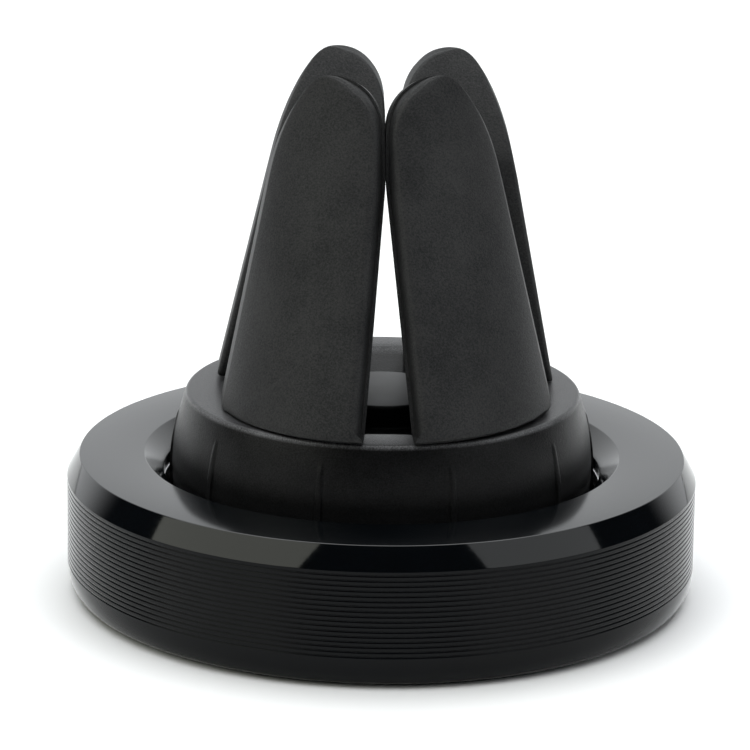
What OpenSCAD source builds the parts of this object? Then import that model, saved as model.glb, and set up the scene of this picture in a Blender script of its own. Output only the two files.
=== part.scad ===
// Magnetic phone mount for a car's air vent, standing on its phone face.
// Origin: centre of the phone face. +Z points from the phone face to the finger tips.
// The four fingers grip a vent blade that lies along X or along Y.

/* [Housing] */
// Diameter of the turned ring
housing_d = 45; // [45:0.5:48]
// Height of the turned ring
housing_h = 10; // [10:0.1:10.6]
// Width of the polished bevel, measured inwards
bevel_w = 0.9; // [0.5:0.1:1.2]
// Height of the polished bevel
bevel_h = 1.6; // [1:0.1:1.8]
// Number of turned grooves round the wall
groove_count = 17; // [8:1:17]
// Distance from one groove to the next
groove_pitch = 0.36; // [0.3:0.01:0.36]
// Depth of one groove
groove_depth = 0.12; // [0.05:0.01:0.2]
// Outer radius of the dish round the collar
dish_r = 17; // [16.5:0.1:18]
// Depth of the dish
dish_depth = 1.2; // [0.8:0.1:1.4]
// Radius of the hole that the collar swivels in
hole_r = 15.6; // [15.6:0.05:15.9]

/* [Magnets] */
// Radius of one disc magnet
magnet_r = 4; // [3:0.1:4.2]
// Thickness of one disc magnet
magnet_h = 1.6; // [1:0.1:1.6]
// Radius of the circle that the magnets lie on
magnet_ring_r = 12.6; // [12:0.1:12.8]

/* [Ball joint] */
// Height of the ball's centre, which every swivel turns about
ball_z = 9.2; // [9.1:0.1:9.4]
// Radius of the ball
ball_r = 3.5; // [3.3:0.05:3.5]
// Radial clearance of each running surface
run_gap = 0.05; // [0.03:0.01:0.08]

/* [Collar] */
// Radius of the ball-shaped flank of the collar
collar_r = 15; // [14.8:0.05:15]
// Height of the collar's rim
rim_z = 14.65; // [14.5:0.05:14.7]
// Radius of the collar's opening
pit_r = 11.5; // [11.4:0.05:11.8]
// Number of ribs round the flank
rib_count = 10; // [6:1:16]
// Width of one rib
rib_w = 0.5; // [0.3:0.1:0.8]

/* [Fingers] */
// Gap between the rim and the foot of each finger
foot_gap = 0.2; // [0.18:0.01:0.3]
// Height of the finger tips
tip_z = 38.5; // [36:0.1:42]
// Half width of both slots at the feet
slot_foot = 1.7; // [1.5:0.05:1.8]
// Half width of both slots where the fingers almost touch
slot_tip = 0.06; // [0.05:0.01:0.4]
// Height at which the fingers almost touch
slot_close_z = 31; // [29:0.5:33]
// Height of the tip's round on the outer side
arch_out_h = 7.4; // [6:0.1:9]
// Height of the tip's round on the slot side
arch_in_h = 4.5; // [4:0.1:6]
// Shape of the outer round: 1 is an ellipse, and less is blunter
arch_out_power = 0.86; // [0.8:0.01:1]
// Shape of the slot side's round: 1 is an ellipse, and less is blunter
arch_in_power = 0.93; // [0.8:0.01:1]
// Distance from the slot's middle to the outside of a finger at its foot
finger_x = 11.7; // [11:0.05:11.8]
// Sideways lean of a finger's outside
finger_lean = 12.5; // [10:0.1:13]
// Sideways place of the tip's highest point
tip_x = 3.6; // [3.4:0.05:3.9]
// Lean of each finger towards +X as moulded, from the front left one anticlockwise
finger_set = [-1.4, -0.9, 1.5, 0.5]; // [-2:0.1:2]
// Shift of each finger towards +X as moulded, in the same order
finger_shift = [0.2, 0.1, 0.6, -0.2]; // [-0.6:0.1:0.6]

/* [Hidden] */

fine = 128;
smooth = 64;
small = 40;
over = 1;

// Housing: the cavity is bored from below and the lip closes its top
housing_r = housing_d / 2;
cavity_r = 20.4;
lip_z = 8;
base_lift = 0.2;
foot_round_h = 2;
foot_round_w = 1;
foot_steps = 8;
groove_top = housing_h - bevel_h - 0.1;
seat_gap = 0.03;

// Stack inside the housing, from the phone face upwards
pad_h = 1.2;
carrier_z = pad_h;
carrier_top = carrier_z + magnet_h;
yoke_h = 1;
yoke_top = carrier_top + yoke_h;
carrier_wall_in = 17.4;
ring_h = 1.1;
ring_in = 15.5;
ring_out = 19.6;
magnet_n = 6;
yoke_screw_n = 3;
yoke_screw_ring_r = 6.8;
screw_r = 1;
screw_head_r = 1.8;

// Ball stud and nut
neck_r = 1.7;
shank_r = 1.5;
flange_r = 3.2;
flange_h = 1;
nut_r = 3;
nut_h = 1.5;
nut_pocket_r = 3.3;

// Socket round the ball
liner_in = ball_r + run_gap;
liner_out = liner_in + 0.7;
liner_low = -2.4;
liner_high = 3;
cup_in = liner_out + run_gap;
cup_r = 5.4;
cup_low = -2.6;
cap_z = 12.2;
cap_flange_r = 6.1;
cap_flange_h = 0.8;
boss_r = 4.65;
boss_z = rim_z;
boss_edge = 0.4;
plug_z = 10.9;
snap_z = 7.3;
snap_h = 0.6;
snap_in = 4.95;
snap_out = 6.1;
snap_slit = 1.6;

// Collar and hub
skirt_z = 7.2;
flange_low = 8.95;
pit_floor = 10.4;
flange_in = 9.5;
hub_plate_r = 12.9;
hub_z = 8;
hub_sleeve_r = 6.9;
hub_sleeve_top = 12.1;
hub_screw_n = 4;
hub_screw_ring_r = 11.2;
bridge_w = 3.9;
bridge_in = 7;
bridge_in_z = 13.2;
bridge_out = pit_r + 0.5;
bridge_out_z = rim_z - 0.1;
rib_proud = 0.25;
rib_top = rim_z - 1.4;
rib_steps = 5;
flank_steps = 16;

// Finger envelope: a leaning cone gives the outer face
foot_z = rim_z + foot_gap;
cone_foot_r = 12.3;
cone_foot_y = 2;
cone_tip_r = 8;
cone_tip_y = -2.3;
nose_y = 4.9;
nose_low_z = slot_close_z;
nose_bulge = 0.35;
arch_steps = 14;
foot_spare = 1;
foot_low = foot_z - foot_spare;
far = 30;

// Core of a finger
skin = 1;
core_foot_y = 8.4;
core_tip_y = 2.6;
core_tip_z = 31.5;
root_in = 7.6;
root_out = 11.1;
root_z = pit_floor + 0.3;
root_side = 2.4;
key_r = 1;
key_at = 6.4;

// Radius of the collar's ball-shaped flank at height z
function flank_at(z) = sqrt(collar_r * collar_r - (z - ball_z) * (z - ball_z));
// Outside of a finger, seen from the front, at height z
function side_at(z) = finger_x - tan(finger_lean) * (z - foot_z);

module ring(r_in, r_out, z, h) {
    translate([0, 0, z])
        difference() {
            cylinder(r = r_out, h = h, $fn = fine);
            translate([0, 0, -over])
                cylinder(r = r_in, h = h + 2 * over, $fn = fine);
        }
}

module on_circle(r, n, first = 0) {
    for (i = [0:n - 1])
        rotate([0, 0, first + i * 360 / n])
            translate([r, 0, 0])
                children();
}

// Countersunk screw with its flat head at z = 0, pointing down
module flat_screw(length) {
    translate([0, 0, -length])
        cylinder(r = screw_r, h = length, $fn = small);
    translate([0, 0, -0.8])
        cylinder(r1 = screw_r, r2 = screw_head_r, h = 0.8, $fn = small);
}

module housing_shell() {
    bottom = [for (i = [0:foot_steps])
        [housing_r - foot_round_w * (1 - sin(90 * i / foot_steps)),
         base_lift + foot_round_h * (1 - cos(90 * i / foot_steps))]];
    grooves = [for (i = [groove_count - 1:-1:0])
        for (k = [0:2])
            [housing_r - (k == 1 ? groove_depth : 0),
             groove_top - (i + 0.8 - 0.4 * k) * groove_pitch]];
    color("#15171a")
        rotate_extrude($fn = fine)
            polygon(concat(
                [[cavity_r, base_lift]],
                bottom,
                grooves,
                [[housing_r, housing_h - bevel_h],
                 [housing_r - bevel_w, housing_h],
                 [dish_r, housing_h],
                 [hole_r, housing_h - dish_depth],
                 [hole_r, lip_z],
                 [cavity_r, lip_z]]));
}

module recess_ring() {
    color("#b9bcc0")
        ring(ring_in, ring_out, lip_z - ring_h, ring_h);
}

module phone_pad() {
    pad_edge = 0.5;
    pad_groove_w = 0.5;
    pad_groove_h = 0.25;
    pad_r = cavity_r - seat_gap;
    color("#1b1c1e")
        difference() {
            union() {
                translate([0, 0, pad_edge])
                    cylinder(r = pad_r, h = pad_h - pad_edge, $fn = fine);
                cylinder(r1 = pad_r - pad_edge, r2 = pad_r, h = pad_edge, $fn = fine);
            }
            for (r = [6:5:16])
                ring(r, r + pad_groove_w, -over, over + pad_groove_h);
        }
}

module magnet_carrier() {
    color("#2c2d30")
        difference() {
            translate([0, 0, carrier_z])
                cylinder(r = cavity_r - seat_gap, h = lip_z - ring_h - carrier_z, $fn = fine);
            translate([0, 0, carrier_top])
                cylinder(r = carrier_wall_in, h = lip_z, $fn = fine);
            translate([0, 0, carrier_z - over])
                cylinder(r = nut_pocket_r, h = lip_z, $fn = small);
            on_circle(magnet_ring_r, magnet_n)
                translate([0, 0, carrier_z - over])
                    cylinder(r = magnet_r + seat_gap, h = magnet_h + 2 * over, $fn = smooth);
            on_circle(yoke_screw_ring_r, yoke_screw_n, 30)
                translate([0, 0, carrier_z - over])
                    cylinder(r = screw_r + seat_gap, h = magnet_h + 2 * over, $fn = small);
        }
}

module magnet(i) {
    color("#c8cacd")
        rotate([0, 0, (i - 1) * 360 / magnet_n])
            translate([magnet_ring_r, 0, carrier_z])
                cylinder(r = magnet_r, h = magnet_h, $fn = smooth);
}

module yoke_plate() {
    color("#8f9297")
        difference() {
            translate([0, 0, carrier_top])
                cylinder(r = carrier_wall_in - 0.1, h = yoke_h, $fn = fine);
            translate([0, 0, carrier_top - over])
                cylinder(r = shank_r + seat_gap, h = yoke_h + 2 * over, $fn = small);
            on_circle(yoke_screw_ring_r, yoke_screw_n, 30)
                translate([0, 0, yoke_top]) {
                    translate([0, 0, -yoke_h - over])
                        cylinder(r = screw_r + seat_gap, h = yoke_h + 2 * over, $fn = small);
                    translate([0, 0, -0.8])
                        cylinder(r1 = screw_r + seat_gap, r2 = screw_head_r + seat_gap, h = 0.8, $fn = small);
                    cylinder(r = screw_head_r + seat_gap, h = over, $fn = small);
                }
        }
}

module yoke_screws() {
    screw_len = 2.3;
    color("#9a9da1")
        on_circle(yoke_screw_ring_r, yoke_screw_n, 30)
            translate([0, 0, yoke_top])
                flat_screw(screw_len);
}

module ball_stud() {
    shank_z = carrier_z + 0.1;
    color("#b4b7bb") {
        translate([0, 0, ball_z])
            sphere(r = ball_r, $fn = smooth);
        translate([0, 0, yoke_top])
            cylinder(r = neck_r, h = ball_z - yoke_top, $fn = small);
        translate([0, 0, yoke_top])
            cylinder(r = flange_r, h = flange_h, $fn = small);
        translate([0, 0, shank_z])
            cylinder(r = shank_r, h = yoke_top - shank_z + 0.1, $fn = small);
    }
}

module stud_nut() {
    color("#a3a6aa")
        translate([0, 0, carrier_top - nut_h])
            difference() {
                cylinder(r = nut_r, h = nut_h, $fn = 6);
                translate([0, 0, -over])
                    cylinder(r = shank_r + seat_gap, h = nut_h + 2 * over, $fn = small);
            }
}

module socket_liner() {
    color("#d9d8d2")
        translate([0, 0, ball_z])
            difference() {
                intersection() {
                    sphere(r = liner_out, $fn = smooth);
                    translate([0, 0, liner_low])
                        cylinder(r = liner_out + over, h = liner_high - liner_low, $fn = smooth);
                }
                sphere(r = liner_in, $fn = smooth);
            }
}

module socket_cup() {
    snap_groove_r = snap_in - seat_gap;
    color("#3a3c40")
        difference() {
            translate([0, 0, ball_z + cup_low])
                cylinder(r = cup_r, h = cap_z - ball_z - cup_low, $fn = smooth);
            translate([0, 0, ball_z])
                sphere(r = cup_in, $fn = smooth);
            translate([0, 0, ball_z])
                cylinder(r = cup_in, h = cap_z, $fn = smooth);
            ring(snap_groove_r, cup_r + over, snap_z - seat_gap, snap_h + 2 * seat_gap);
        }
}

module socket_cap() {
    plug_r = cup_in - seat_gap;
    color("#1a1b1d")
        difference() {
            union() {
                translate([0, 0, plug_z])
                    cylinder(r = plug_r, h = cap_z - plug_z + 0.1, $fn = smooth);
                translate([0, 0, cap_z])
                    cylinder(r = cap_flange_r, h = cap_flange_h, $fn = smooth);
                translate([0, 0, cap_z])
                    cylinder(r = boss_r, h = boss_z - boss_edge - cap_z, $fn = smooth);
                translate([0, 0, boss_z - boss_edge])
                    cylinder(r1 = boss_r, r2 = boss_r - boss_edge, h = boss_edge, $fn = smooth);
            }
            translate([0, 0, ball_z])
                sphere(r = cup_in, $fn = smooth);
        }
}

module cup_ring() {
    color("#8d9095")
        difference() {
            ring(snap_in, snap_out, snap_z, snap_h);
            translate([0, -snap_slit / 2, snap_z - over])
                cube([snap_out + over, snap_slit, snap_h + 2 * over]);
        }
}

module collar() {
    flank = [for (i = [0:flank_steps])
        let (z = skirt_z + (rim_z - skirt_z) * i / flank_steps)
            [flank_at(z), z]];
    bore_r = hub_plate_r + seat_gap;
    color("#222326")
        difference() {
            union() {
                rotate_extrude($fn = fine)
                    polygon(concat(
                        [[bore_r, skirt_z]],
                        flank,
                        [[pit_r, rim_z],
                         [pit_r, pit_floor],
                         [flange_in, pit_floor],
                         [flange_in, flange_low],
                         [bore_r, flange_low]]));
                on_circle(0, rib_count, 180 / rib_count - 90)
                    rib();
                bridges();
            }
            on_circle(hub_screw_ring_r, hub_screw_n, 45)
                translate([0, 0, skirt_z])
                    cylinder(r = screw_r + seat_gap, h = pit_floor - 0.5 - skirt_z, $fn = small);
        }
}

// Four bridges across the pit, under the slots, with tops that slope down from the rim to the boss
module bridges() {
    floor_z = pit_floor + seat_gap;
    intersection() {
        rotate_extrude($fn = fine)
            polygon([[bridge_in, floor_z],
                     [flange_in + 0.5, floor_z],
                     [flange_in + 0.5, pit_floor - 0.5],
                     [bridge_out, pit_floor - 0.5],
                     [bridge_out, bridge_out_z],
                     [bridge_in, bridge_in_z]]);
        union() {
            translate([-collar_r, -bridge_w / 2, 0])
                cube([2 * collar_r, bridge_w, rim_z]);
            translate([-bridge_w / 2, -collar_r, 0])
                cube([bridge_w, 2 * collar_r, rim_z]);
        }
    }
}

// One rib, a thin upright plate that stands out of the flank more and more towards its foot
module rib() {
    rib_low = skirt_z + 0.3;
    edge = [for (i = [0:rib_steps])
        let (t = i / rib_steps, z = rib_low + (rib_top - rib_low) * t)
            [flank_at(z) + rib_proud * (1 - 0.75 * t), z]];
    translate([0, rib_w / 2, 0])
        rotate([90, 0, 0])
            linear_extrude(rib_w)
                polygon(concat([[hub_plate_r + over, rib_low]], edge, [[hub_plate_r, rib_top]]));
}

module clip_hub() {
    color("#2a2b2e")
        difference() {
            union() {
                translate([0, 0, hub_z])
                    cylinder(r = hub_plate_r, h = flange_low - hub_z, $fn = fine);
                translate([0, 0, hub_z])
                    cylinder(r = flange_in - seat_gap, h = pit_floor - hub_z, $fn = fine);
                translate([0, 0, hub_z])
                    cylinder(r = hub_sleeve_r, h = hub_sleeve_top - hub_z, $fn = smooth);
            }
            cylinder(r = cup_r + run_gap, h = rim_z, $fn = smooth);
            on_circle(hub_screw_ring_r, hub_screw_n, 45)
                cylinder(r = screw_r + seat_gap, h = rim_z, $fn = small);
        }
}

module hub_screws() {
    head_h = 0.6;
    thread_h = 1.8;
    color("#9a9da1")
        on_circle(hub_screw_ring_r, hub_screw_n, 45)
            translate([0, 0, hub_z - head_h]) {
                cylinder(r = screw_head_r - 0.3, h = head_h, $fn = small);
                cylinder(r = screw_r, h = head_h + thread_h, $fn = small);
            }
}

// Front outline of the finger that stands on the +X side, as X and Z
module finger_front() {
    arch_out = [for (i = [0:arch_steps])
        let (a = 90 * i / arch_steps, z = tip_z - arch_out_h * (1 - pow(sin(a), arch_out_power)))
            [tip_x + (side_at(z) - tip_x) * pow(cos(a), arch_out_power), z]];
    arch_in = [for (i = [arch_steps - 1:-1:0])
        let (a = 90 * i / arch_steps, z = tip_z - arch_in_h * (1 - pow(sin(a), arch_in_power)))
            [tip_x - (tip_x - slot_tip) * pow(cos(a), arch_in_power), z]];
    polygon(concat([[slot_foot, foot_low], [side_at(foot_low), foot_low]], arch_out, arch_in,
                   [[slot_tip, slot_close_z], [slot_foot, foot_z]]));
}

// Side outline of the finger that stands on the +Y side, as Y and Z
module finger_side() {
    nose_run = nose_y - slot_tip;
    nose_rise = tip_z - nose_low_z;
    nose = [for (i = [0:arch_steps])
        let (t = i / arch_steps, lift = nose_bulge * sin(180 * t))
            [slot_tip + nose_run * t - 0.7 * lift, nose_low_z + nose_rise * t + 0.7 * lift]];
    polygon(concat([[far, foot_low], [slot_foot, foot_low], [slot_foot, foot_z]],
                   nose, [[far, tip_z]]));
}

// Leaning cone whose skin is the outer face of the fingers on the +Y side
module finger_cone() {
    rise = tip_z - foot_z;
    run = cone_tip_y - cone_foot_y;
    lean = atan(run / rise);
    slope_h = sqrt(rise * rise + run * run);
    grow = (cone_foot_r - cone_tip_r) / slope_h;
    extra = 6;
    translate([0, cone_foot_y, foot_z])
        rotate([-lean, 0, 0])
            translate([0, 0, -extra])
                cylinder(r1 = cone_foot_r + grow * extra, r2 = cone_tip_r - grow * extra,
                         h = slope_h + 2 * extra, $fn = fine);
}

// Stiff core inside the sleeve, standing in the +X +Y quarter, grown by gap
module core_bar(gap = 0) {
    bar_low = foot_low - foot_spare;
    intersection() {
        translate([0, far, 0])
            rotate([90, 0, 0])
                linear_extrude(2 * far)
                    polygon([[slot_foot + skin - gap, bar_low],
                             [finger_x - 2 * skin + gap, bar_low],
                             [side_at(core_tip_z) - skin + gap, core_tip_z + gap],
                             [slot_tip + 1.4 * skin - gap, core_tip_z + gap]]);
        rotate([90, 0, 90])
            linear_extrude(far)
                polygon([[slot_foot + skin - gap, bar_low],
                         [core_foot_y + gap, bar_low],
                         [core_tip_y + gap, core_tip_z + gap],
                         [slot_tip + skin - gap, core_tip_z + gap]]);
    }
}

// Root block of a core inside the collar's pit, with the key that joins it to the bar
module core_root() {
    intersection() {
        ring(root_in, root_out, root_z, foot_z - root_z);
        translate([root_side, root_side, 0])
            cube([far, far, far]);
    }
    translate([key_at, key_at, foot_z - key_r])
        cylinder(r = key_r, h = 2 * key_r, $fn = small);
}

module finger_sleeve_shape() {
    difference() {
        intersection() {
            translate([0, far, 0])
                rotate([90, 0, 0])
                    linear_extrude(2 * far)
                        finger_front();
            rotate([90, 0, 90])
                linear_extrude(far)
                    finger_side();
            finger_cone();
        }
        core_bar(seat_gap);
    }
}

// Mirrors a piece of the +X +Y quarter into quarter 1 to 4, counted from the front left
module in_quarter(i) {
    mirror([(i == 1 || i == 4) ? 1 : 0, 0, 0])
        mirror([0, i < 3 ? 1 : 0, 0])
            children();
}

// Gives finger i its moulded lean and shift, and trims its foot level with the rim
module as_moulded(i) {
    foot_x = (i == 1 || i == 4) ? -slot_foot : slot_foot;
    intersection() {
        translate([foot_x + finger_shift[i - 1], 0, foot_z])
            rotate([0, finger_set[i - 1], 0])
                translate([-foot_x, 0, -foot_z])
                    in_quarter(i)
                        children();
        translate([-far, -far, foot_z])
            cube([2 * far, 2 * far, far]);
    }
}

module finger_sleeve(i) {
    color("#2f3033")
        as_moulded(i)
            finger_sleeve_shape();
}

module finger_core(i) {
    color("#3b3c40") {
        as_moulded(i)
            core_bar();
        in_quarter(i)
            core_root();
    }
}

housing_shell();
recess_ring();
phone_pad();
magnet_carrier();
for (i = [1:magnet_n])
    magnet(i);
yoke_plate();
yoke_screws();
ball_stud();
stud_nut();
socket_liner();
socket_cup();
socket_cap();
cup_ring();
collar();
clip_hub();
hub_screws();
for (i = [1:4]) {
    finger_core(i);
    finger_sleeve(i);
}
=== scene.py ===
import math

import bpy
from mathutils import Matrix, Vector


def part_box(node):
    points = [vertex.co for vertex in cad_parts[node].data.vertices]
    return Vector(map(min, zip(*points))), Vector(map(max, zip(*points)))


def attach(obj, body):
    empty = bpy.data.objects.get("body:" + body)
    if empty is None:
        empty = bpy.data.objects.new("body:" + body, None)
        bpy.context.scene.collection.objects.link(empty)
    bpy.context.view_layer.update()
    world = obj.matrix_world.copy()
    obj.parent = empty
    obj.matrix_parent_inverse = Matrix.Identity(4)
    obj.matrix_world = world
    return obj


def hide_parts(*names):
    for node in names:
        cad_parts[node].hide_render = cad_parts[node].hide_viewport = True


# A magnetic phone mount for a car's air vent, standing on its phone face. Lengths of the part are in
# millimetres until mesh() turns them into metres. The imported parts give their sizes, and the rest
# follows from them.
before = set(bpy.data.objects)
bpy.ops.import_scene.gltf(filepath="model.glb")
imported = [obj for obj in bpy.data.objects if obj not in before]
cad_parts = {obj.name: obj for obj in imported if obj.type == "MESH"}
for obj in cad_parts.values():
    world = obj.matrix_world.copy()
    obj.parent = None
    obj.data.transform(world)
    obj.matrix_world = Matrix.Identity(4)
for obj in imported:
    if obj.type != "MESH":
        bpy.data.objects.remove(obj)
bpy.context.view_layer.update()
MM = 0.001


def box_mm(node):
    """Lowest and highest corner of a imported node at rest, in millimetres."""
    low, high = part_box(node)
    return low / MM, high / MM


HOUSING_LOW, HOUSING_HIGH = box_mm("housing_shell")
RING_LOW, RING_HIGH = box_mm("recess_ring")
PAD_HIGH = box_mm("phone_pad")[1]
COLLAR_LOW, COLLAR_HIGH = box_mm("collar")
CAP_LOW, CAP_HIGH = box_mm("socket_cap")
FINGER_LOW = box_mm("finger_sleeve_2")[0]

# Housing
HOUSING_R = HOUSING_HIGH.x
TOP_Z = HOUSING_HIGH.z
BASE_Z = HOUSING_LOW.z
LIP_Z = RING_HIGH.z
CAVITY_R = 20.4
RECESS_R = 15.5
BEVEL_W = 0.9
BEVEL_H = 1.6
BEVEL_FOOT_Z = TOP_Z - BEVEL_H
FOOT_ROUND_W = 1.0
FOOT_ROUND_H = 2.0
DISH_R = 17.0
DISH_DEPTH = 1.2
HOLE_R = 15.6
GROOVES = 17
GROOVE_PITCH = 0.36
GROOVE_DEPTH = 0.07
GROOVE_W = 0.46 * GROOVE_PITCH
GROOVES_TOP_Z = BEVEL_FOOT_Z - 0.1

# Phone face
PAD_R = PAD_HIGH.x
PAD_EDGE = 0.5
PAD_GROOVE_RADII = (6, 11, 16)
PAD_GROOVE_W = 0.5
PAD_GROOVE_H = 0.25

# Collar, its pit and the bridges across it
BALL_Z = 9.2
FLANK_R = 15.0
RIM_Z = COLLAR_HIGH.z
SKIRT_Z = COLLAR_LOW.z
PIT_R = 11.5
PIT_FLOOR = 10.4
FLANGE_IN = 9.5
FLANGE_LOW = 8.95
PLATE_R = 12.93
RIBS = 10
RIB_PITCH = 2 * math.pi / RIBS
RIB_HALF_ANGLE = 0.5 / 2 / FLANK_R
RIB_PROUD = 0.25
RIB_TOP = RIM_Z - 1.4
RIB_FADE = 0.5
BRIDGE_W = 3.9
BRIDGE_LOW = PIT_FLOOR + 0.03
BRIDGE_IN, BRIDGE_OUT = 7.0, PIT_R + 0.5
BRIDGE_IN_Z, BRIDGE_OUT_Z = 13.2, RIM_Z - 0.01
BRIDGE_FLUSH = PIT_R - 0.2

# Painted highlight: a pale line of colour along the collar's rim, standing in for its edge catching light
CREST_Z = RIM_Z - 0.15
CREST_W = 0.22
CREST_HIGHLIGHT_COLOR = (0.13, 0.13, 0.135)

# Boss in the middle of the pit, its flange and plug, and the hollow over the ball
BOSS_R = 4.65
BOSS_FOOT_Z = 13.0
CAP_FLANGE_Z = 12.2
PLUG_R = 4.27
HOLLOW_TOP_Z = 13.5
HOLLOW_SHOULDER_R, HOLLOW_SHOULDER_Z = 2.4, 12.8
HOLLOW_MOUTH_R, HOLLOW_MOUTH_Z = 3.9, 11.05

# Fingers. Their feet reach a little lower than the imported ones, which narrows the gap above the collar.
FOOT_Z = FINGER_LOW.z - 0.05
TIP_Z = 38.5
SLOT_FOOT = 1.7
SLOT_TIP = 0.04
SLOT_CLOSE_Z = 31.0
ARCH_OUT_H = 7.4
ARCH_IN_H = 4.5
ARCH_OUT_POWER = 0.86
ARCH_IN_POWER = 0.93
SIDE_X = 11.7
SIDE_LEAN = math.radians(12.5)
TIP_X = 3.6
CONE_FOOT_R, CONE_FOOT_Y = 12.05, 2.0
CONE_TIP_R, CONE_TIP_Y = 8.0, -2.3
NOSE_Y = 4.9
NOSE_BULGE = 0.35

# How each moulded finger leans, in degrees, and stands to one side
FINGER_SET = {1: -1.25, 2: -1.0, 3: 1.5, 4: 0.5}
FINGER_SHIFT = {1: 0.2, 2: 0.1, 3: 0.6, 4: -0.2}

# A finger's border: crisp outside, a dark fall with a thin lip along the slot, and a slightly raised face
CRISP_EDGE = 0.13
ARCH_EDGE = 0.55
SLOT_EDGE = 0.9
BACK_EDGE = 0.3
MOST_OF_THICKNESS = 0.42
FALL_STEEPNESS = 1.9
FALL_BEGIN = math.radians(16)
LIP_W = 0.24
PANEL_H, PANEL_EDGE = 0.08, 0.06
STRAIGHT_IN = Vector((0.0, 1.0, 0.0))
MIDDLE_LOW_Z, MIDDLE_HIGH_Z = FOOT_Z + 5.0, TIP_Z - 6.0

# Fineness of the meshes
RING_SIDES = 288
SMALL_RING_SIDES = 192
BOSS_SIDES = 128
ARCH_STEPS = 30
OUTLINE_STEP = 1.1
ROUND_STEPS = 6
FACE_RINGS = 8
SLOPE_STEP = 0.01
AXIS_R = 0.02


# ---------------------------------------------------------------- mesh helpers
def mesh(name, points, faces, body, node, material, sharp=35.0):
    """Makes the piece that replaces a node, from points in millimetres, smooth except at sharper edges."""
    data = bpy.data.meshes.new(name)
    data.from_pydata([tuple(MM * c for c in p) for p in points], [], faces)
    data.validate()
    data.polygons.foreach_set("use_smooth", [True] * len(data.polygons))
    data.set_sharp_from_angle(angle=math.radians(sharp))
    data.materials.append(material)
    piece = bpy.data.objects.new(name, data)
    bpy.context.collection.objects.link(piece)
    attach(piece, body)
    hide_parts(node)


def rounded(corners, steps=4):
    """Closed outline of (a, b, radius) corners, each rounded to its radius."""
    out = []
    most_of_side = 0.48
    for i, (a, b, radius) in enumerate(corners):
        if radius <= 0:
            out.append((a, b))
            continue
        here = Vector((a, b))
        before = Vector(corners[i - 1][:2]) - here
        after = Vector(corners[(i + 1) % len(corners)][:2]) - here
        half = before.angle(after) / 2
        reach = min(radius / math.tan(half), most_of_side * before.length, most_of_side * after.length)
        true_r = reach * math.tan(half)
        middle = (before.normalized() + after.normalized()).normalized()
        centre = here + middle * (true_r / math.sin(half))
        start = here + before.normalized() * reach - centre
        end = here + after.normalized() * reach - centre
        for k in range(steps + 1):
            turn = start.lerp(end, k / steps)
            sweep = centre + turn.normalized() * true_r
            out.append((sweep.x, sweep.y))
    return out


def unrounded(points):
    """Outline points as corners that stay sharp."""
    return [(a, b, 0.0) for a, b in points]


def lathe(profile, angles, swell=None):
    """Points and faces of a closed (radius, height) outline turned about Z at the given angles."""
    points = []
    for angle in angles:
        c, s = math.cos(angle), math.sin(angle)
        for r, z in profile:
            grown = r + (swell(angle, r, z) if swell else 0.0)
            points.append((grown * c, grown * s, z))
    n, m = len(profile), len(angles)
    faces = [(i * n + j, ((i + 1) % m) * n + j, ((i + 1) % m) * n + (j + 1) % n, i * n + (j + 1) % n)
             for i in range(m) for j in range(n)]
    return points, faces


def even_angles(count):
    """Angles spaced evenly round a full turn."""
    return [2 * math.pi * i / count for i in range(count)]


def clamp(t):
    """The value nearest to t from 0 to 1."""
    return min(max(t, 0.0), 1.0)


def smooth(t):
    """0 to 1, starting and ending level."""
    t = clamp(t)
    return t * t * (3 - 2 * t)


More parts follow.
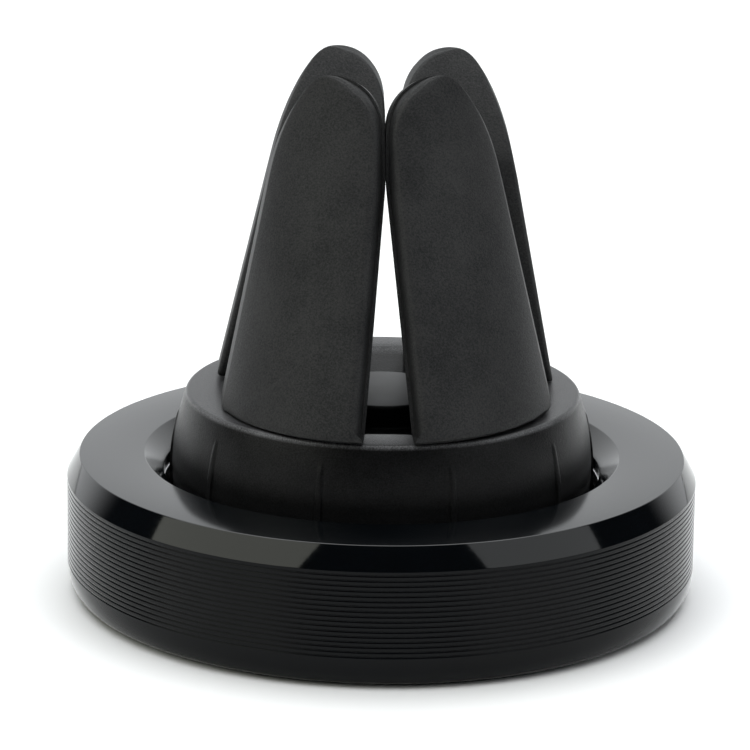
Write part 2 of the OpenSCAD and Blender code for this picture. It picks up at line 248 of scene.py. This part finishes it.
# ---------------------------------------------------------------- material helpers
class Nodes:
    """Short names for building one material's nodes."""

    def __init__(self, name, color, rough, metallic=0.0, ior=1.5):
        self.material = bpy.data.materials.new(name)
        self.material.use_nodes = True
        self.tree = self.material.node_tree
        self.shader = self.tree.nodes["Principled BSDF"]
        self.set("Base Color", (*color, 1.0))
        self.set("Roughness", rough)
        self.set("Metallic", metallic)
        self.set("IOR", ior)
        self.place = self.new("ShaderNodeTexCoord").outputs["Object"]

    def new(self, kind):
        return self.tree.nodes.new(kind)

    def link(self, output, socket):
        self.tree.links.new(output, socket)

    def set(self, name, value):
        """Gives one of the shader's sockets a uniform value."""
        self.shader.inputs[name].default_value = value

    def drive(self, name, output):
        """Gives one of the shader's sockets the value of another node."""
        self.link(output, self.shader.inputs[name])

    def math(self, operation, *values):
        node = self.new("ShaderNodeMath")
        node.operation = operation
        for socket, value in zip(node.inputs, values):
            if isinstance(value, (int, float)):
                socket.default_value = value
            else:
                self.link(value, socket)
        return node.outputs[0]

    def noise(self, scale, detail, roughness=0.5):
        node = self.new("ShaderNodeTexNoise")
        node.inputs["Scale"].default_value = scale
        node.inputs["Detail"].default_value = detail
        node.inputs["Roughness"].default_value = roughness
        self.link(self.place, node.inputs["Vector"])
        return node.outputs["Fac"]

    def spread(self, value, low, high, start=0.0, end=1.0):
        """Maps value from start..end to low..high."""
        node = self.new("ShaderNodeMapRange")
        self.link(value, node.inputs["Value"])
        for socket, number in (("From Min", start), ("From Max", end), ("To Min", low), ("To Max", high)):
            node.inputs[socket].default_value = number
        return node.outputs["Result"]

    def blend(self, fac, a, b):
        """Colour from a to b by fac. Each end is a colour or another node's output."""
        node = self.new("ShaderNodeMix")
        node.data_type = "RGBA"
        for socket, end in (("A", a), ("B", b)):
            if isinstance(end, tuple):
                node.inputs[socket].default_value = (*end, 1.0)
            else:
                self.link(end, node.inputs[socket])
        self.link(fac, node.inputs["Factor"])
        return node.outputs["Result"]

    def color(self, fac, a, b):
        self.drive("Base Color", self.blend(fac, a, b))

    def rough(self, fac, low, high):
        self.drive("Roughness", self.spread(fac, low, high))

    def bump(self, height, depth_mm, strength):
        node = self.new("ShaderNodeBump")
        node.inputs["Strength"].default_value = strength
        node.inputs["Distance"].default_value = depth_mm * MM
        self.link(height, node.inputs["Height"])
        self.drive("Normal", node.outputs["Normal"])

    def axis_parts(self):
        """Distance from the Z axis, and height, in metres."""
        split = self.new("ShaderNodeSeparateXYZ")
        self.link(self.place, split.inputs["Vector"])
        x, y, z = split.outputs
        square = self.math("ADD", self.math("MULTIPLY", x, x), self.math("MULTIPLY", y, y))
        return self.math("SQRT", square), z

    def turned(self, lines_per_mm):
        """Height of fine lathe lines that run round the Z axis."""
        across, z = self.axis_parts()
        lines = self.new("ShaderNodeTexNoise")
        lines.noise_dimensions = "1D"
        lines.inputs["Scale"].default_value = lines_per_mm / MM
        lines.inputs["Detail"].default_value = 3.0
        self.link(self.math("ADD", across, z), lines.inputs["W"])
        return lines.outputs["Fac"]


# ---------------------------------------------------------------- materials
def anodised_aluminium():
    """Black anodising: a near mirror on the bevel, satin on the top, dull on the grooved wall."""
    m = Nodes("black_anodised", (0.0012, 0.0013, 0.0015), 0.1)
    lines = m.turned(9.0)
    cloud = m.noise(160.0, 4.0)
    m.color(cloud, (0.0005, 0.0008, 0.0012), (0.0014, 0.0022, 0.003))
    across, z = m.axis_parts()
    below_bevel = m.math("LESS_THAN", z, BEVEL_FOOT_Z * MM)
    outside_top = m.math("GREATER_THAN", across, (HOUSING_R - BEVEL_W) * MM)
    wall = m.math("MULTIPLY", below_bevel, outside_top)
    wear = m.math("MULTIPLY", lines, cloud)
    finish = m.math("ADD", m.spread(wall, 0.04, 0.2), m.spread(outside_top, 0.08, 0.0))
    m.drive("Roughness", m.math("ADD", finish, m.spread(wear, 0.0, 0.1)))
    m.drive("Specular IOR Level", m.spread(wall, 0.5, 0.13))
    m.drive("Sheen Weight", m.spread(wall, 0.0, 1.0))
    m.set("Sheen Roughness", 0.25)
    m.bump(lines, 0.001, 0.25)
    return m.material


def soft_rubber(name, dark, light, grain_mm, depth_mm, rough, gloss=0.5, crest=None):
    """Matte moulded rubber: a fine speckled grain, faint clouds and, at the height crest, a painted
    highlight along the edge.
    """
    m = Nodes(name, light, rough, ior=1.46)
    grain = m.noise(1.0 / (grain_mm * MM), 2.0, roughness=0.7)
    cloud = m.noise(170.0, 4.0, roughness=0.65)
    tone = m.math("ADD", m.math("MULTIPLY", grain, 0.6), m.math("MULTIPLY", cloud, 0.4))
    shade = m.blend(m.spread(tone, 0.0, 1.0, 0.38, 0.62), dark, light)
    if crest is None:
        m.drive("Base Color", shade)
    else:
        # Painted highlight: paler colour in a thin band at the crest height, where the rim's edge catches
        # light
        height = m.axis_parts()[1]
        off = m.math("ABSOLUTE", m.math("SUBTRACT", height, crest * MM))
        near = m.spread(off, 1.0, 0.0, 0.0, CREST_W * MM)
        painted_highlight = m.math("MULTIPLY", near, m.spread(tone, 0.3, 1.0, 0.4, 0.6))
        m.color(painted_highlight, shade, CREST_HIGHLIGHT_COLOR)
    m.rough(cloud, rough - 0.12, rough + 0.12)
    m.drive("Specular IOR Level", m.spread(tone, 0.7 * gloss, 1.3 * gloss, 0.35, 0.65))
    m.bump(grain, depth_mm, 0.8)
    return m.material


def moulded_plastic(name, dark, light, rough, gloss=0.5):
    """Plastic with a very fine spark-eroded grain and faint clouds."""
    m = Nodes(name, light, rough)
    m.set("Specular IOR Level", gloss)
    grain = m.noise(9000.0, 1.0)
    cloud = m.noise(240.0, 3.0)
    m.color(cloud, dark, light)
    m.rough(cloud, rough - 0.05, rough + 0.08)
    m.bump(grain, 0.008, 0.4)
    return m.material


def turned_steel(name, dark, light, rough):
    """Bright metal with lathe lines and a slightly uneven colour."""
    m = Nodes(name, light, rough, metallic=1.0)
    lines = m.turned(12.0)
    cloud = m.noise(300.0, 3.0)
    m.color(m.math("MULTIPLY", lines, cloud), dark, light)
    m.rough(lines, rough - 0.06, rough + 0.1)
    m.bump(lines, 0.002, 0.3)
    return m.material


def paint(nodes, material):
    """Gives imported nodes, which keep their shape, a material."""
    for name in nodes:
        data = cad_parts[name].data
        data.materials.clear()
        data.materials.append(material)


# ---------------------------------------------------------------- turned pieces
def housing(material):
    """The turned ring: rounded foot, grooves, polished bevel, satin top, dish and hole."""
    foot_steps = 12
    foot = []
    for i in range(foot_steps + 1):
        a = math.pi / 2 * i / foot_steps
        r = HOUSING_R - FOOT_ROUND_W * (1 - math.sin(a))
        foot.append((r, BASE_Z + FOOT_ROUND_H * (1 - math.cos(a))))
    grooves = []
    for i in reversed(range(GROOVES)):
        low = GROOVES_TOP_Z - (i + 0.5) * GROOVE_PITCH - GROOVE_W / 2
        bottom = (HOUSING_R - GROOVE_DEPTH, low + GROOVE_W / 2, 0.05)
        grooves += [(HOUSING_R, low, 0.03), bottom, (HOUSING_R, low + GROOVE_W, 0.03)]
    corners = unrounded(foot) + grooves + [
        (HOUSING_R, BEVEL_FOOT_Z, 0.08),
        (HOUSING_R - BEVEL_W, TOP_Z, 0.1),
        (DISH_R, TOP_Z, 0.15),
        (HOLE_R, TOP_Z - DISH_DEPTH, 0.12),
        (HOLE_R, LIP_Z, 0.05),
        (CAVITY_R, LIP_Z, 0.0),
        (CAVITY_R, BASE_Z, 0.15)]
    points, faces = lathe(rounded(corners), even_angles(RING_SIDES))
    mesh("turned_ring", points, faces, "housing", "housing_shell", material)


def bright_ring(material):
    """Thin bright ring in the recess."""
    edge = 0.12
    corners = [
        (RING_HIGH.x, RING_LOW.z, 0.0),
        (RING_HIGH.x, LIP_Z, 0.0),
        (RECESS_R, LIP_Z, edge),
        (RECESS_R, RING_LOW.z, edge)]
    points, faces = lathe(rounded(corners), even_angles(SMALL_RING_SIDES))
    mesh("bright_recess_ring", points, faces, "housing", "recess_ring", material)


def pad(material):
    """Rubber phone face with three fine grooves and a rounded edge."""
    corners = [(AXIS_R, PAD_HIGH.z, 0.0), (AXIS_R, 0.0, 0.0)]
    groove = ((0, 0), (0, PAD_GROOVE_H), (PAD_GROOVE_W, PAD_GROOVE_H), (PAD_GROOVE_W, 0))
    for r in PAD_GROOVE_RADII:
        corners += [(r + w, h, 0.05) for w, h in groove]
    corners += [
        (PAD_R - PAD_EDGE, 0.0, 0.3),
        (PAD_R, PAD_EDGE, 0.3),
        (PAD_R, PAD_HIGH.z, 0.0)]
    points, faces = lathe(rounded(corners), even_angles(SMALL_RING_SIDES))
    mesh("rubber_phone_face", points, faces, "housing", "phone_pad", material)


def cap(material):
    """Round boss in the middle of the collar, with its flange below."""
    corners = [
        (AXIS_R, HOLLOW_TOP_Z, 0.0),
        (HOLLOW_SHOULDER_R, HOLLOW_SHOULDER_Z, 0.4),
        (HOLLOW_MOUTH_R, HOLLOW_MOUTH_Z, 0.2),
        (PLUG_R, CAP_LOW.z, 0.0),
        (PLUG_R, CAP_FLANGE_Z, 0.0),
        (CAP_HIGH.x, CAP_FLANGE_Z, 0.12),
        (CAP_HIGH.x, BOSS_FOOT_Z, 0.25),
        (BOSS_R, BOSS_FOOT_Z, 0.2),
        (BOSS_R, CAP_HIGH.z, 0.3),
        (AXIS_R, CAP_HIGH.z, 0.0)]
    points, faces = lathe(rounded(corners), even_angles(BOSS_SIDES))
    mesh("boss_cap", points, faces, "cup", "socket_cap", material)


# ---------------------------------------------------------------- collar
def flank_at(z):
    """Radius of the collar's ball-shaped flank."""
    return math.sqrt(FLANK_R ** 2 - (z - BALL_Z) ** 2)


def quarter_turns(x, y, z, count):
    """A point turned about Z by a number of quarter turns."""
    for _ in range(count):
        x, y = -y, x
    return x, y, z


def bridge(quarter):
    """One of the four bridges across the pit, a beam whose top slopes down towards the boss."""
    lengths, edge, half = 14, 0.3, BRIDGE_W / 2
    points, faces = [], []
    for i in range(lengths + 1):
        r = BRIDGE_IN + (BRIDGE_OUT - BRIDGE_IN) * i / lengths
        along = min((r - BRIDGE_IN) / (BRIDGE_FLUSH - BRIDGE_IN), 1.0)
        high = BRIDGE_IN_Z + (BRIDGE_OUT_Z - BRIDGE_IN_Z) * along
        foot = [(-half, BRIDGE_LOW, 0), (half, BRIDGE_LOW, 0)]
        section = rounded(foot + [(half, high, edge), (-half, high, edge)])
        points += [quarter_turns(r, across, up, quarter) for across, up in section]
    count = len(section)
    for i in range(lengths):
        for j in range(count):
            k = (j + 1) % count
            faces.append((i * count + j, i * count + k, (i + 1) * count + k, (i + 1) * count + j))
    faces.append(tuple(reversed(range(count))))
    faces.append(tuple(range(lengths * count, (lengths + 1) * count)))
    return points, faces


def rib_swell(angle, r, z):
    """How far the collar's flank stands out at an angle: ribs that grow towards the foot."""
    inside_flank = flank_at(z) - 0.6
    if r < inside_flank or z > RIB_TOP:
        return 0.0
    off = (angle + math.pi / 2) % RIB_PITCH - RIB_PITCH / 2
    rise = (RIB_TOP - z) / (RIB_TOP - SKIRT_Z)
    tall = RIB_PROUD * (0.25 + 0.75 * rise) * smooth((RIB_TOP - z) / RIB_FADE)
    width = RIB_HALF_ANGLE * (0.7 + 0.5 * rise)
    return tall * (1 - smooth((abs(off) - 0.85 * width) / (0.35 * width)))


def rib_angles():
    """Angles round the collar, close together over each rib and wide apart between ribs."""
    half_widths = (0.5, 0.85, 1.1, 1.35, 1.7, 2.2)
    one_side = [f * RIB_HALF_ANGLE for f in half_widths]
    near = [-a for a in reversed(one_side)] + [0.0] + one_side
    between = 9
    gap = RIB_PITCH - 2 * near[-1]
    angles = []
    for k in range(RIBS):
        middle = -math.pi / 2 + RIB_PITCH * (k + 0.5)
        angles += [middle + a for a in near]
        angles += [middle + near[-1] + gap * i / (between + 1) for i in range(1, between + 1)]
    return angles


def collar(material):
    """Ball-shaped flank with ribs, a rounded rim, the pit and its four bridges."""
    steps = 28
    low, high = SKIRT_Z + 0.25, RIM_Z - 0.38
    heights = [low + (high - low) * i / steps for i in range(steps + 1)]
    skirt = [(PLATE_R, SKIRT_Z, 0.1), (flank_at(SKIRT_Z), SKIRT_Z, 0.25)]
    flank = [(flank_at(z), z) for z in heights]
    corners = skirt + unrounded(flank) + [
        (flank_at(RIM_Z), RIM_Z, 0.3),
        (PIT_R, RIM_Z, 0.15),
        (PIT_R, PIT_FLOOR, 0.3),
        (FLANGE_IN, PIT_FLOOR, 0.1),
        (FLANGE_IN, FLANGE_LOW, 0.0),
        (PLATE_R, FLANGE_LOW, 0.0)]
    points, faces = lathe(rounded(corners), rib_angles(), rib_swell)
    for quarter in range(4):
        more_points, more_faces = bridge(quarter)
        faces += [tuple(len(points) + v for v in f) for f in more_faces]
        points += more_points
    mesh("ribbed_collar", points, faces, "clip", "collar", material, sharp=50)


# ---------------------------------------------------------------- fingers
def side_at(z):
    """Outside of a finger, seen from the front."""
    return SIDE_X - math.tan(SIDE_LEAN) * (z - FOOT_Z)


def slot_at(z):
    """Slot side of a finger, seen from the front, below its round tip."""
    t = min((z - FOOT_Z) / (SLOT_CLOSE_Z - FOOT_Z), 1.0)
    return SLOT_FOOT + (SLOT_TIP - SLOT_FOOT) * t


def face_y(x, z):
    """Outer face of a finger: the skin of the leaning cone, where a line along Y meets it."""
    run, rise = CONE_TIP_Y - CONE_FOOT_Y, TIP_Z - FOOT_Z
    length = math.hypot(run, rise)
    axis_y, axis_z = run / length, rise / length
    taper = (CONE_FOOT_R - CONE_TIP_R) / length
    up = z - FOOT_Z
    along = 1 + taper * taper
    a = 1 - along * axis_y * axis_y
    b = 2 * axis_y * (CONE_FOOT_R * taper - along * axis_z * up)
    c = x * x + up * up * (1 - along * axis_z * axis_z)
    c += CONE_FOOT_R * (2 * taper * axis_z * up - CONE_FOOT_R)
    return CONE_FOOT_Y + (-b + math.sqrt(max(b * b - 4 * a * c, 0.0))) / (2 * a)


def back_y(z):
    """Slot face of a finger, and above it the nose that leads a blade in."""
    line = slot_at(z)
    t = (z - SLOT_CLOSE_Z) / (TIP_Z - SLOT_CLOSE_Z)
    nose = SLOT_TIP + (NOSE_Y - SLOT_TIP) * t - 0.7 * NOSE_BULGE * math.sin(math.pi * clamp(t))
    soft = 0.35
    return (line + nose + math.hypot(line - nose, soft)) / 2


def finger_outline():
    """Front outline of a finger as (x, z) points and their outward normals, running anticlockwise."""
    quarter = [math.pi / 2 * i / ARCH_STEPS for i in range(ARCH_STEPS + 1)]

    def blunt(a, height, power):
        """Height and share of the half width at an angle of a blunt quarter arch."""
        return TIP_Z - height * (1 - max(math.sin(a), 0.0) ** power), max(math.cos(a), 0.0) ** power

    outer = [blunt(a, ARCH_OUT_H, ARCH_OUT_POWER) for a in quarter]
    inner = [blunt(a, ARCH_IN_H, ARCH_IN_POWER) for a in reversed(quarter[:-1])]
    arch = [(TIP_X + (side_at(z) - TIP_X) * c, z) for z, c in outer]
    arch += [(TIP_X - (TIP_X - SLOT_TIP) * c, z) for z, c in inner]
    feet = [(SLOT_FOOT, FOOT_Z, 0.2), (SIDE_X, FOOT_Z, 0.3)]
    corners = rounded(feet + unrounded(arch) + [(SLOT_TIP, SLOT_CLOSE_Z, 6.0)], steps=7)
    points = []
    for i, start in enumerate(corners):
        end = corners[(i + 1) % len(corners)]
        pieces = max(1, round(math.dist(start, end) / OUTLINE_STEP))
        run, rise = end[0] - start[0], end[1] - start[1]
        points += [(start[0] + run * k / pieces, start[1] + rise * k / pieces) for k in range(pieces)]
    normals = []
    for i in range(len(points)):
        before, after = points[i - 1], points[(i + 1) % len(points)]
        normals.append(Vector((after[1] - before[1], before[0] - after[0])).normalized())
    return points, normals


def face_normal(x, z):
    """Outward normal of a finger's outer face."""
    dx = (face_y(x + SLOPE_STEP, z) - face_y(x - SLOPE_STEP, z)) / (2 * SLOPE_STEP)
    dz = (face_y(x, z + SLOPE_STEP) - face_y(x, z - SLOPE_STEP)) / (2 * SLOPE_STEP)
    return Vector((-dx, 1.0, -dz)).normalized()


def back_normal(z):
    """Outward normal of a finger's slot face."""
    dz = (back_y(z + SLOPE_STEP) - back_y(z - SLOPE_STEP)) / (2 * SLOPE_STEP)
    return Vector((0.0, -1.0, dz)).normalized()


def on_face(x, z, sunk=0.0):
    """Point on a finger's outer face, or sunk below it."""
    return Vector((x, face_y(x, z), z)) - face_normal(x, z) * sunk


def middle_point(z):
    """Point on the finger's middle line where the run from an outline point at height z ends."""
    level = min(max(z, MIDDLE_LOW_Z), MIDDLE_HIGH_Z)
    return (side_at(level) + slot_at(level)) / 2, level


def border(z, n):
    """Width of the rounded border at an outline point: crisp outside, wider on the arch and the slot."""
    below_tip = smooth((TIP_Z - 2.5 - z) / 5.0)
    faces_slot = smooth((-n.x - 0.2) / 0.7)
    on_slot = faces_slot * below_tip
    above_side = smooth((z - (TIP_Z - ARCH_OUT_H - 1.0)) / 3.0)
    faces_inward = smooth((0.45 - n.x) / 0.5)
    on_arch = faces_inward * above_side * (1 - on_slot)
    return CRISP_EDGE + (ARCH_EDGE - CRISP_EDGE) * on_arch + (SLOT_EDGE - CRISP_EDGE) * on_slot


def ring_share(k):
    """How far out the k-th ring of the face lies, from the middle line to the border."""
    return (k / FACE_RINGS) ** 0.8


def finger_run(x, z, n):
    """One outline point's run over the finger, from the face's middle line round to the back's."""
    thick = MOST_OF_THICKNESS * (face_y(x, z) - back_y(z))
    radius = min(border(z, n), thick)
    back_r = min(BACK_EDGE, thick)
    mx, mz = middle_point(z)
    side = Vector((n.x, 0.0, n.y))
    on_inside = smooth((0.3 - n.x) / 0.6)
    flush = face_normal(x - n.x * 0.5 * radius, z - n.y * 0.5 * radius).dot(side)
    wide = radius * (on_inside + (1 - on_inside) * max(1 - flush, 0.1))
    ax, az = x - n.x * wide, z - n.y * wide

    # The face, raised a little inside the border
    lift = min(PANEL_H, 0.3 * radius)
    px, pz = ax - n.x * PANEL_EDGE, az - n.y * PANEL_EDGE
    run = []
    for k in range(FACE_RINGS + 1):
        t = ring_share(k)
        run.append(tuple(on_face(mx + (px - mx) * t, mz + (pz - mz) * t)))
    run.append(tuple(on_face(ax - 0.3 * n.x * PANEL_EDGE, az - 0.3 * n.y * PANEL_EDGE, 0.35 * lift)))

    # The border: an even round outside, blended into a steep fall and a lip along the slot
    fn = face_normal(ax, az)
    start = on_face(ax, az, lift)
    round_r = wide / max(1 - fn.dot(side), 0.1)
    deep = min(FALL_STEEPNESS * wide, thick)
    lip = min(LIP_W, 0.35 * wide) * on_inside
    for k in range(ROUND_STEPS + 1):
        even = start + (fn.lerp(side, k / ROUND_STEPS).normalized() - fn) * round_r
        turn = FALL_BEGIN + (math.pi / 2 - FALL_BEGIN) * k / ROUND_STEPS
        drop = STRAIGHT_IN * deep * (1 - math.cos(turn))
        run.append(tuple(even.lerp(start + side * (wide - lip) * math.sin(turn) - drop, on_inside)))
    run.append(tuple(Vector(run[-1]) + side * lip))

    # The side, the rounded back edge and the back
    bx, bz = x - n.x * back_r, z - n.y * back_r
    bn = back_normal(bz)
    far = Vector((bx, back_y(bz), bz)) - bn * back_r
    last = Vector(run[-1])
    side_pieces = 4
    for k in range(1, side_pieces):
        run.append(tuple(last.lerp(far + side * back_r, k / side_pieces)))
    for k in range(ROUND_STEPS + 1):
        turn = side.lerp(bn, k / ROUND_STEPS).normalized()
        run.append(tuple(far + turn * back_r))
    for k in reversed(range(FACE_RINGS)):
        t = ring_share(k)
        pz = mz + (bz - mz) * t
        run.append((mx + (bx - mx) * t, back_y(pz), pz))
    return run


def finger_shell():
    """Points and faces of a closed finger in the +X +Y quarter."""
    outline, normals = finger_outline()
    runs = [finger_run(x, z, n) for (x, z), n in zip(outline, normals)]
    count, length = len(runs), len(runs[0])
    faces = []
    for i in range(count):
        j = (i + 1) % count
        for k in range(length - 1):
            faces.append((i * length + k, j * length + k, j * length + k + 1, i * length + k + 1))
    return join_equal_points([p for run in runs for p in run], faces)


def join_equal_points(points, faces):
    """Joins the runs' points that meet, on the middle line and where a run has no lip."""
    index, kept, joined = {}, [], []
    for p in points:
        key = tuple(round(c, 4) for c in p)
        if key not in index:
            index[key] = len(kept)
            kept.append(p)
        joined.append(index[key])
    solid = []
    for f in faces:
        corners = []
        for v in (joined[i] for i in f):
            if v not in corners:
                corners.append(v)
        if len(corners) > 2:
            solid.append(tuple(corners))
    return kept, solid


def finger(i, shell, material):
    """Puts the finger in quarter 1 to 4, from the front left anticlockwise, with its moulded set."""
    points, faces = shell
    left, front = i in (1, 4), i < 3
    side = -1 if left else 1
    turn = math.radians(FINGER_SET[i])
    c, s = math.cos(turn), math.sin(turn)
    placed = []
    for x, y, z in points:
        dx, dz = side * (x - SLOT_FOOT), z - FOOT_Z
        px = side * SLOT_FOOT + FINGER_SHIFT[i] + dx * c + dz * s
        placed.append((px, -y if front else y, max(FOOT_Z + dz * c - dx * s, FOOT_Z)))
    ordered = faces if left != front else [tuple(reversed(f)) for f in faces]
    mesh(f"finger_skin_{i}", placed, ordered, f"finger_{i}", f"finger_sleeve_{i}",
         material, sharp=60)


# ---------------------------------------------------------------- the object
black = anodised_aluminium()
steel = turned_steel("bright_steel", (0.5, 0.5, 0.51), (0.78, 0.78, 0.79), 0.24)
plated = turned_steel("zinc_plated_steel", (0.3, 0.3, 0.31), (0.62, 0.62, 0.63), 0.34)
nickel = turned_steel("nickel_plating", (0.55, 0.54, 0.52), (0.8, 0.79, 0.77), 0.14)
finger_rubber = soft_rubber("finger_rubber", (0.009, 0.0093, 0.01), (0.021, 0.021, 0.021),
                            grain_mm=0.13, depth_mm=0.024, rough=0.55, gloss=0.37)
collar_rubber = soft_rubber("collar_rubber", (0.0015, 0.0016, 0.0018), (0.004, 0.0041, 0.0044),
                            grain_mm=0.11, depth_mm=0.03, rough=0.33, gloss=0.27, crest=CREST_Z)
pad_rubber = soft_rubber("pad_rubber", (0.02, 0.02, 0.021), (0.034, 0.034, 0.035),
                         grain_mm=0.14, depth_mm=0.012, rough=0.7)
hub_plastic = moulded_plastic("black_plastic", (0.012, 0.012, 0.013), (0.022, 0.022, 0.023), 0.5)
cap_plastic = moulded_plastic("cap_plastic", (0.009, 0.0095, 0.01), (0.016, 0.0165, 0.017), 0.42, gloss=0.3)
nylon = moulded_plastic("nylon", (0.6, 0.59, 0.55), (0.72, 0.71, 0.67), 0.45)

housing(black)
bright_ring(steel)
pad(pad_rubber)
cap(cap_plastic)
collar(collar_rubber)
finger_solid = finger_shell()
for number in range(1, 5):
    finger(number, finger_solid, finger_rubber)

paint(["magnet_carrier", "socket_cup", "clip_hub"] + [f"finger_core_{i}" for i in range(1, 5)], hub_plastic)
paint([f"magnet_{i}" for i in range(1, 7)], nickel)
paint(["yoke_plate", "yoke_screws", "ball_stud", "stud_nut", "cup_ring", "hub_screws"], plated)
paint(["socket_liner"], nylon)


# ---------------------------------------------------------------- floor, light and camera, in metres
PART_MIDDLE = Vector((0.0, 0.0, 0.015))


def floor():
    """Plain pale floor."""
    half = 3.0
    corners = [(-half, -half, 0), (half, -half, 0), (half, half, 0), (-half, half, 0)]
    data = bpy.data.meshes.new("floor")
    data.from_pydata(corners, [], [(0, 1, 2, 3)])
    plane = bpy.data.objects.new("floor", data)
    bpy.context.collection.objects.link(plane)
    m = Nodes("pale_floor", (0.9, 0.9, 0.9), 0.6)
    m.color(m.noise(3.0, 1.0), (0.95, 0.95, 0.95), (0.97, 0.97, 0.97))
    data.materials.append(m.material)


def softbox(name, azimuth, elevation, width, height, glow, tint):
    """Area light at an azimuth from the front (positive to the right), aimed at the part's middle."""
    distance = 0.9
    data = bpy.data.lights.new(name, "AREA")
    data.shape = "RECTANGLE"
    data.size, data.size_y = width, height
    data.energy = glow * math.pi * width * height
    data.color = tint
    lamp = bpy.data.objects.new(name, data)
    bpy.context.collection.objects.link(lamp)
    a, e = math.radians(azimuth), math.radians(elevation)
    away = Vector((math.sin(a) * math.cos(e), -math.cos(a) * math.cos(e), math.sin(e)))
    lamp.location = PART_MIDDLE + away * distance
    lamp.rotation_euler = away.to_track_quat("Z", "Y").to_euler()


def studio():
    """White surroundings behind, dark in front, and white wherever the camera looks past the floor."""
    dark_from, white_from = 0.42, 0.75
    dark_glow, white_glow = 0.02, 1.2
    world = bpy.data.worlds.new("studio")
    bpy.context.scene.world = world
    world.use_nodes = True
    tree = world.node_tree
    tree.nodes.clear()
    out = tree.nodes.new("ShaderNodeOutputWorld")
    direction = tree.nodes.new("ShaderNodeTexCoord")
    split = tree.nodes.new("ShaderNodeSeparateXYZ")
    depth = tree.nodes.new("ShaderNodeMapRange")
    depth.interpolation_type = "SMOOTHSTEP"
    depth.inputs["From Min"].default_value = dark_from
    depth.inputs["From Max"].default_value = white_from
    depth.inputs["To Min"].default_value = dark_glow
    depth.inputs["To Max"].default_value = white_glow
    around = tree.nodes.new("ShaderNodeBackground")
    around.inputs["Color"].default_value = (0.955, 0.98, 1.0, 1.0)
    seen = tree.nodes.new("ShaderNodeBackground")
    seen.inputs["Color"].default_value = (1.0, 1.0, 1.0, 1.0)
    seen.inputs["Strength"].default_value = 1.0
    ray = tree.nodes.new("ShaderNodeLightPath")
    mix = tree.nodes.new("ShaderNodeMixShader")
    tree.links.new(direction.outputs["Generated"], split.inputs["Vector"])
    tree.links.new(split.outputs["Y"], depth.inputs["Value"])
    tree.links.new(depth.outputs["Result"], around.inputs["Strength"])
    tree.links.new(ray.outputs["Is Camera Ray"], mix.inputs["Fac"])
    tree.links.new(around.outputs["Background"], mix.inputs[1])
    tree.links.new(seen.outputs["Background"], mix.inputs[2])
    tree.links.new(mix.outputs["Shader"], out.inputs["Surface"])


def camera():
    """Long lens, a little above the ring, turned and rolled as the picture was taken."""
    distance, elevation, azimuth, roll = 0.300, 16.009, 1.2, 0.840
    aim = Vector((-0.00057, 0.0, 0.015637))
    data = bpy.data.cameras.new("camera")
    data.sensor_width = 36.0
    data.lens = 202.0
    data.clip_start = 0.01
    eye = bpy.data.objects.new("camera", data)
    bpy.context.collection.objects.link(eye)
    e = math.radians(elevation)
    away = Vector((0, -math.cos(e), math.sin(e)))
    place = Matrix.Rotation(-math.radians(azimuth), 4, "Z") @ Matrix.Translation(aim + away * distance)
    look = away.to_track_quat("Z", "Y").to_matrix().to_4x4()
    eye.matrix_world = place @ look @ Matrix.Rotation(math.radians(roll), 4, "Z")
    bpy.context.scene.camera = eye


floor()
studio()
softbox("left_softbox", -64.5, 34, 0.89, 0.56, 1.35, (1.0, 1.02, 0.92))
softbox("right_softbox", 64, 34, 0.67, 0.56, 1.0, (0.96, 0.99, 1.0))
softbox("top_softbox", 180, 86, 1.3, 1.0, 3.2, (0.97, 0.99, 1.0))
camera()
bpy.context.scene.view_settings.view_transform = "Standard"
